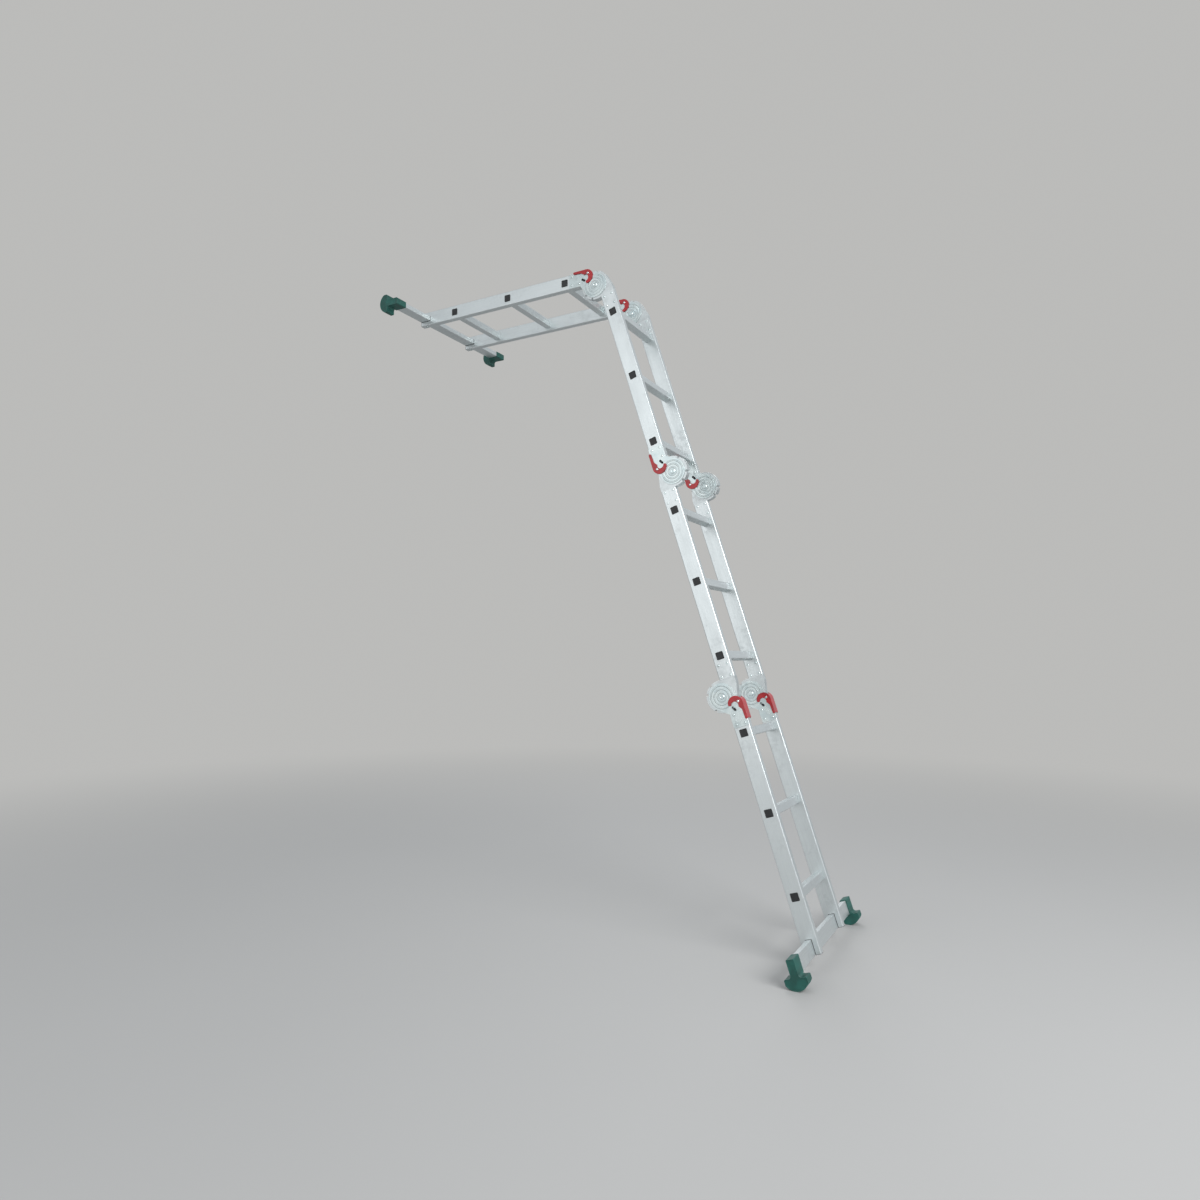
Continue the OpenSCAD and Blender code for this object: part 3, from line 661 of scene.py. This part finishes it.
class LADDER_OT_springs(bpy.types.Operator):
    """Coils of round wire on the lever pins"""
    bl_idname = "ladder.springs"
    bl_label = "Make the lever springs"

    def execute(self, context):
        sizes = context.scene.ladder_sizes
        pitch = (sizes.coil_length - sizes.wire) / sizes.coil_turns
        for hinge in HINGES:
            node = f"{hinge}_lever_springs"
            coils = []
            for side in SIDES:
                pin = Vector(JOINTS[f"{hinge}_{side}_lever_pull"]["pos_m"])
                bpy.ops.object.select_all(action="DESELECT")
                bpy.ops.mesh.primitive_circle_add(vertices=10, radius=sizes.wire / 2, fill_type="NOTHING",
                                                  location=(0, 0, 0), rotation=(math.pi / 2, 0, 0))
                coil = context.object
                coil.location = (sizes.coil_radius, 0, 0)
                bpy.ops.object.transform_apply(location=True, rotation=True, scale=True)
                screw = coil.modifiers.new("Coil", "SCREW")
                screw.axis = "Z"
                screw.angle = 2 * math.pi
                screw.iterations = sizes.coil_turns
                screw.screw_offset = pitch
                screw.steps = screw.render_steps = 24
                screw.use_smooth_shade = True
                bpy.ops.object.modifier_apply(modifier=screw.name)
                bpy.ops.object.mode_set(mode="EDIT")
                bpy.ops.mesh.select_all(action="SELECT")
                bpy.ops.mesh.remove_doubles(threshold=0.000001)
                bpy.ops.mesh.select_all(action="DESELECT")
                bpy.ops.mesh.select_mode(type="EDGE")
                bpy.ops.mesh.select_non_manifold()
                bpy.ops.mesh.edge_face_add()
                bpy.ops.mesh.select_all(action="SELECT")
                bpy.ops.transform.translate(value=(0, 0, -pitch * sizes.coil_turns / 2))
                bpy.ops.transform.rotate(value=math.pi / 2, orient_axis="X", center_override=(0, 0, 0))
                bpy.ops.transform.translate(value=pin)
                bpy.ops.mesh.normals_make_consistent(inside=False)
                bpy.ops.object.mode_set(mode="OBJECT")
                coils.append(coil)
            only(coils[0])
            coils[1].select_set(True)
            bpy.ops.object.join()
            coils[0].name = f"{hinge}_wire_coils"
            bpy.ops.object.shade_smooth_by_angle(angle=math.radians(50))
            settle(coils[0], node, MATERIALS["spring"])
        return {"FINISHED"}


class LADDER_OT_rung_plugs(bpy.types.Operator):
    """Plastic rung plugs with a shallow dish in their outer face"""
    bl_idname = "ladder.rung_plugs"
    bl_label = "Make the rung plugs"

    def block(self, width, inner, outer, corner):
        """A square block along Y, with the four edges along it rounded."""
        bpy.ops.object.select_all(action="DESELECT")
        bpy.ops.mesh.primitive_cube_add(size=1, location=(0, (inner + outer) / 2, 0),
                                        scale=(width, outer - inner, width))
        block = bpy.context.object
        bpy.ops.object.transform_apply(location=True, rotation=True, scale=True)
        bpy.ops.object.mode_set(mode="EDIT")
        bpy.ops.mesh.select_mode(type="EDGE")
        bpy.ops.mesh.select_all(action="DESELECT")
        bpy.ops.object.mode_set(mode="OBJECT")
        for edge in block.data.edges:
            one, two = (block.data.vertices[i].co for i in edge.vertices)
            edge.select = abs(one.y - two.y) > (outer - inner) / 2
        bpy.ops.object.mode_set(mode="EDIT")
        bpy.ops.mesh.bevel(offset=corner, segments=5, affect="EDGES")
        bpy.ops.object.mode_set(mode="OBJECT")
        return block

    def model(self, sizes, stile_face, outside):
        """One plug for the right end of a rung whose middle is at the origin."""
        plug = self.block(sizes.plug_face, stile_face + PLUG_SEAT, outside, sizes.plug_corner)
        near_face = outside - sizes.plug_edge / 2
        pick_faces(plug, lambda c, n: n.y > 0.99 and c.y > near_face)
        bpy.ops.mesh.bevel(offset=sizes.plug_edge, segments=2, affect="EDGES")
        pick_faces(plug, lambda c, n: n.y > 0.99 and c.y > near_face)
        bpy.ops.mesh.inset(thickness=sizes.plug_rim)
        bpy.ops.mesh.inset(thickness=sizes.plug_dish / 2, depth=-sizes.plug_dish)
        bpy.ops.object.mode_set(mode="OBJECT")
        body = self.block(sizes.plug_body, stile_face - sizes.plug_reach,
                          stile_face + PLUG_SEAT + PLUG_OVERLAP, sizes.plug_corner / 2)
        only(plug)
        body.select_set(True)
        bpy.ops.object.join()
        return plug

    def places(self, node, along, across, outside):
        """The middle of each rung of a section, from the outer faces of its plugs."""
        corners = sorted((v.co.dot(along), v.co.dot(across)) for v in NODES[node].data.vertices
                         if v.co.y > outside - 0.00001)
        rows = [[corners[0]]]
        for corner in corners[1:]:
            if corner[0] - rows[-1][-1][0] > 0.1:
                rows.append([])
            rows[-1].append(corner)
        return [along * (row[0][0] + row[-1][0]) / 2
                + across * (min(c[1] for c in row) + max(c[1] for c in row)) / 2 for row in rows]

    def execute(self, context):
        sizes = context.scene.ladder_sizes
        for section in (1, 2, 3, 4):
            node = f"rung_plugs_{section}"
            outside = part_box(node)[1].y
            stile_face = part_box(f"stile_{section}_right")[1].y
            turn = 0 if section == 4 else -LEAN
            along = Vector((-1, 0, 0)) if section == 4 else UP
            across = Vector((along.z, 0, -along.x))
            pattern = self.model(sizes, stile_face, outside)
            soften(pattern, 0)
            plugs = []
            for place in self.places(node, along, across, outside):
                for side in (1, -1):
                    plug = pattern.copy()
                    plug.data = pattern.data.copy()
                    context.scene.collection.objects.link(plug)
                    plug.data.transform(Matrix.Translation(place) @ Matrix.Rotation(turn, 4, "Y")
                                        @ Matrix.Rotation(0 if side > 0 else math.pi, 4, "Z"))
                    plugs.append(plug)
            bpy.data.objects.remove(pattern)
            only(plugs[0])
            for plug in plugs:
                plug.select_set(True)
            bpy.ops.object.join()
            plugs[0].name = f"moulded_plugs_{section}"
            settle(plugs[0], node, MATERIALS["plastic"])
        return {"FINISHED"}


class LADDER_OT_end_plugs(bpy.types.Operator):
    """Plastic linings between the stile ends and the bars"""
    bl_idname = "ladder.end_plugs"
    bl_label = "Make the end plugs"

    def execute(self, context):
        for end in ("bottom", "top"):
            node = f"{end}_end_plugs"
            piece = merged_copy(node, f"{end}_moulded_linings")
            soften(piece, context.scene.ladder_sizes.liner_edge)
            settle(piece, node, MATERIALS["plastic"])
        return {"FINISHED"}


class LADDER_OT_feet(bpy.types.Operator):
    """Moulded rocker feet with a panelled end and a ribbed sole"""
    bl_idname = "ladder.feet"
    bl_label = "Make the feet"

    def execute(self, context):
        sizes = context.scene.ladder_sizes
        for end, mount in (("bottom", "floor_rest"), ("top", "wall_rest")):
            node = f"{end}_feet"
            outward = Vector(MOUNTS[mount]["axis"])
            middle = Vector(MOUNTS[mount]["pos_m"]) - outward * sizes.sole_radius
            outside = max(abs(corner.y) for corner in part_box(node))
            piece = merged_copy(node, f"{end}_moulded_feet")

            def on_sole(centre, normal):
                arm = Vector((centre.x - middle.x, 0, centre.z - middle.z))
                return abs(normal.y) < 0.1 and abs(arm.length - sizes.sole_radius) < SOLE_TOLERANCE \
                    and arm.normalized().dot(normal) > 0.98

            if not pick_faces(piece, on_sole):
                raise RuntimeError(f"{node} has no sole to rib")
            bpy.ops.mesh.inset(thickness=sizes.tread_rib, use_individual=True)
            bpy.ops.mesh.inset(thickness=GROOVE_SLOPE, depth=-sizes.tread_depth, use_individual=True)
            if not pick_faces(piece, lambda c, n: abs(n.y) > 0.99 and abs(c.y) > outside - 0.0001):
                raise RuntimeError(f"{node} has no end face to panel")
            bpy.ops.mesh.inset(thickness=sizes.foot_panel)
            bpy.ops.mesh.inset(thickness=sizes.foot_panel_depth, depth=-sizes.foot_panel_depth)
            soften(piece, sizes.foot_edge / 3, 2)
            settle(piece, node, MATERIALS["foot"])
        return {"FINISHED"}


class LADDER_OT_stage(bpy.types.Operator):
    """A pale floor, soft studio lamps and the camera"""
    bl_idname = "ladder.stage"
    bl_label = "Set the stage"

    def execute(self, context):
        scene = context.scene
        stage = scene.ladder_stage
        bpy.ops.object.select_all(action="DESELECT")
        bpy.ops.mesh.primitive_plane_add(size=stage.floor_size, location=(0, 0, 0))
        floor = context.object
        floor.name = "studio_floor"
        tone = tuple(scene.ladder_colours.backdrop)
        floor.data.materials.append(floor_finish(tuple(scene.ladder_colours.floor), tone))

        world = bpy.data.worlds.new("Studio")
        world.use_nodes = True
        sky = Tree(world.node_tree)
        sky.nodes.clear()
        path = sky.place("ShaderNodeLightPath")
        seen = sky.math("MAXIMUM", path.outputs["Is Camera Ray"], path.outputs["Is Transmission Ray"])
        soft = sky.place("ShaderNodeBackground", {"Color": (0.93, 0.965, 1.0, 1), "Strength": 0.6})
        shown = sky.place("ShaderNodeBackground", {"Color": (*tone, 1), "Strength": 1.0})
        mixed = sky.place("ShaderNodeMixShader", {0: seen, 1: soft.outputs[0], 2: shown.outputs[0]})
        sky.place("ShaderNodeOutputWorld", {"Surface": mixed.outputs[0]})
        scene.world = world

        for name, place, power, size in LAMPS:
            lamp = bpy.data.lights.new(name, "AREA")
            lamp.shape = "DISK"
            lamp.energy = power
            lamp.size = size
            lamp_object = bpy.data.objects.new(name, lamp)
            scene.collection.objects.link(lamp_object)
            lamp_object.location = place
            lamp_object.rotation_euler = (LAMP_TARGET - Vector(place)).to_track_quat("-Z", "Y").to_euler()

        eye = bpy.data.cameras.new("camera")
        eye.lens = stage.camera_lens
        eye.sensor_width = 36
        eye.shift_x, eye.shift_y = stage.camera_shift
        eye.clip_start = 0.05
        eye.clip_end = 200
        camera = bpy.data.objects.new("camera", eye)
        scene.collection.objects.link(camera)
        camera.location = stage.camera_place
        camera.rotation_euler = (math.pi / 2 + stage.camera_rise, 0, stage.camera_turn)
        scene.camera = camera
        scene.view_settings.view_transform = "Standard"
        return {"FINISHED"}


STEPS = (LADDER_OT_finishes, LADDER_OT_frame_metal, LADDER_OT_hinge_heads, LADDER_OT_hinge_plates,
         LADDER_OT_levers, LADDER_OT_lock_bolts, LADDER_OT_springs, LADDER_OT_rung_plugs,
         LADDER_OT_end_plugs, LADDER_OT_feet, LADDER_OT_stage)


class LADDER_PT_panel(bpy.types.Panel):
    """The steps that finish the ladder, and their sizes and colours"""
    bl_idname = "LADDER_PT_panel"
    bl_label = "Multi position ladder"
    bl_space_type = "VIEW_3D"
    bl_region_type = "UI"
    bl_category = "Ladder"

    def draw(self, context):
        for step in STEPS:
            self.layout.operator(step.bl_idname)
        for group in (context.scene.ladder_sizes, context.scene.ladder_colours, context.scene.ladder_stage):
            box = self.layout.box()
            for key in group.__annotations__:
                box.prop(group, key)


CLASSES = (LadderSizes, LadderColours, LadderStage, *STEPS, LADDER_PT_panel)


def register():
    for cls in CLASSES:
        bpy.utils.register_class(cls)
    bpy.types.Scene.ladder_sizes = bpy.props.PointerProperty(type=LadderSizes)
    bpy.types.Scene.ladder_colours = bpy.props.PointerProperty(type=LadderColours)
    bpy.types.Scene.ladder_stage = bpy.props.PointerProperty(type=LadderStage)


def unregister():
    del bpy.types.Scene.ladder_stage
    del bpy.types.Scene.ladder_colours
    del bpy.types.Scene.ladder_sizes
    for cls in reversed(CLASSES):
        bpy.utils.unregister_class(cls)


def main():
    register()
    for step in STEPS:
        family, name = step.bl_idname.split(".")
        if getattr(getattr(bpy.ops, family), name)() != {"FINISHED"}:
            raise RuntimeError(f"{step.bl_label} didn't finish")


if __name__ == "__main__":
    main()
